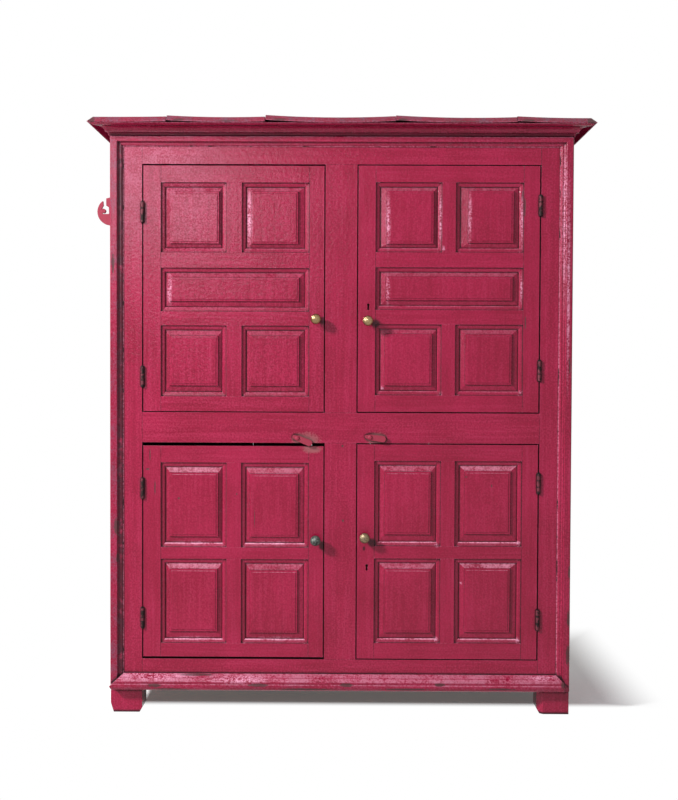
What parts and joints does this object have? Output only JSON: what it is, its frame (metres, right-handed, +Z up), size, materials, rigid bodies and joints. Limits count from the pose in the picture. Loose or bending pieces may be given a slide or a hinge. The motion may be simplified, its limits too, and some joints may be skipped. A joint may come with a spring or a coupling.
{
  "type": "larder cupboard",
  "caption": "Tall painted wooden larder cupboard with raised-panel doors in two storeys, a moulded cornice, shelves inside, knobs, locks and turn buttons.",
  "frame": {"origin": "on the floor under the middle of the whole cupboard", "axes": "+Z up, the doors face -Y, +X to the viewer's right as seen from the front"},
  "size_m": [1.501, 0.539, 1.7895],
  "materials": {
    "crimson_paint": "brushed oil paint, half gloss, over old wood",
    "bare_wood": "dry unpainted softwood",
    "aged_brass": "turned and handled bright, dull in the grooves; the hinge leaves in the same node are iron painted over",
    "tarnished_brass": "turned, tarnished grey green; the hinge leaves in the same node are iron painted over",
    "hinge_iron": "iron with old paint and rust",
    "painted_iron": "forged iron painted over and rubbed through",
    "lock_iron": "dark dry iron"
  },
  "bodies": {
    "carcass": {"front_left_post": "crimson_paint", "front_right_post": "crimson_paint", "back_posts": "crimson_paint", "bottom_rail": "crimson_paint", "middle_rail": "crimson_paint", "top_rail": "crimson_paint", "lower_centre_stile": "crimson_paint", "upper_centre_stile": "crimson_paint", "door_stops": "bare_wood", "right_side_rails": "crimson_paint", "left_side_rails": "crimson_paint", "right_side_panels": "crimson_paint", "left_side_panels": "crimson_paint", "back_rails": "bare_wood", "back_boards": "bare_wood", "floor_boards": "bare_wood", "middle_shelf": "bare_wood", "shelves": "bare_wood", "shelf_battens": "bare_wood", "front_cornice": "crimson_paint", "cornice_returns": "crimson_paint", "top_boards": "crimson_paint", "right_face_moulding": "crimson_paint", "left_face_moulding": "crimson_paint", "top_face_moulding": "crimson_paint", "base_moulding": "crimson_paint", "post_hinge_leaves": "hinge_iron", "hinge_pins": "hinge_iron", "side_hook": "painted_iron", "turn_button_pins": "painted_iron"},
    "upper_left_door": {"upper_left_door_stiles": "crimson_paint", "upper_left_door_rails": "crimson_paint", "upper_left_door_muntins": "crimson_paint", "upper_left_door_panels": "crimson_paint", "upper_left_door_fittings": "aged_brass"},
    "upper_right_door": {"upper_right_door_stiles": "crimson_paint", "upper_right_door_rails": "crimson_paint", "upper_right_door_muntins": "crimson_paint", "upper_right_door_panels": "crimson_paint", "upper_right_door_fittings": "aged_brass", "upper_lock_case": "lock_iron"},
    "lower_left_door": {"lower_left_door_stiles": "crimson_paint", "lower_left_door_rails": "crimson_paint", "lower_left_door_muntins": "crimson_paint", "lower_left_door_panels": "crimson_paint", "lower_left_door_fittings": "tarnished_brass"},
    "lower_right_door": {"lower_right_door_stiles": "crimson_paint", "lower_right_door_rails": "crimson_paint", "lower_right_door_muntins": "crimson_paint", "lower_right_door_panels": "crimson_paint", "lower_right_door_fittings": "aged_brass", "lower_lock_case": "lock_iron"},
    "upper_bolt": {"upper_lock_bolt": "lock_iron"},
    "lower_bolt": {"lower_lock_bolt": "lock_iron"},
    "left_button": {"left_turn_button": "painted_iron"},
    "right_button": {"right_turn_button": "painted_iron"}
  },
  "joints": [
    {"name": "upper_left_door_hinge", "type": "hinge", "parent": "carcass", "child": "upper_left_door", "pos_m": [-0.595, -0.213, 1.26025], "axis": [0, 0, -1], "range_deg": [0, 150]},
    {"name": "upper_right_door_hinge", "type": "hinge", "parent": "carcass", "child": "upper_right_door", "pos_m": [0.595, -0.213, 1.2825], "axis": [0, 0, 1], "range_deg": [0, 150]},
    {"name": "lower_left_door_hinge", "type": "hinge", "parent": "carcass", "child": "lower_left_door", "pos_m": [-0.595, -0.213, 0.48225], "axis": [0, 0, -1], "range_deg": [0, 150]},
    {"name": "lower_right_door_hinge", "type": "hinge", "parent": "carcass", "child": "lower_right_door", "pos_m": [0.595, -0.213, 0.49125], "axis": [0, 0, 1], "range_deg": [0, 150]},
    {"name": "left_button_pivot", "type": "hinge", "parent": "carcass", "child": "left_button", "pos_m": [-0.129, -0.2165, 0.831], "axis": [0, 1, 0], "continuous": true},
    {"name": "right_button_pivot", "type": "hinge", "parent": "carcass", "child": "right_button", "pos_m": [0.0895, -0.2165, 0.8345], "axis": [0, 1, 0], "continuous": true},
    {"name": "upper_bolt_slide", "type": "slide", "parent": "upper_right_door", "child": "upper_bolt", "axis": [-1, 0, 0], "range_m": [0, 0.01]},
    {"name": "lower_bolt_slide", "type": "slide", "parent": "lower_right_door", "child": "lower_bolt", "axis": [-1, 0, 0], "range_m": [0, 0.01]}
  ]
}
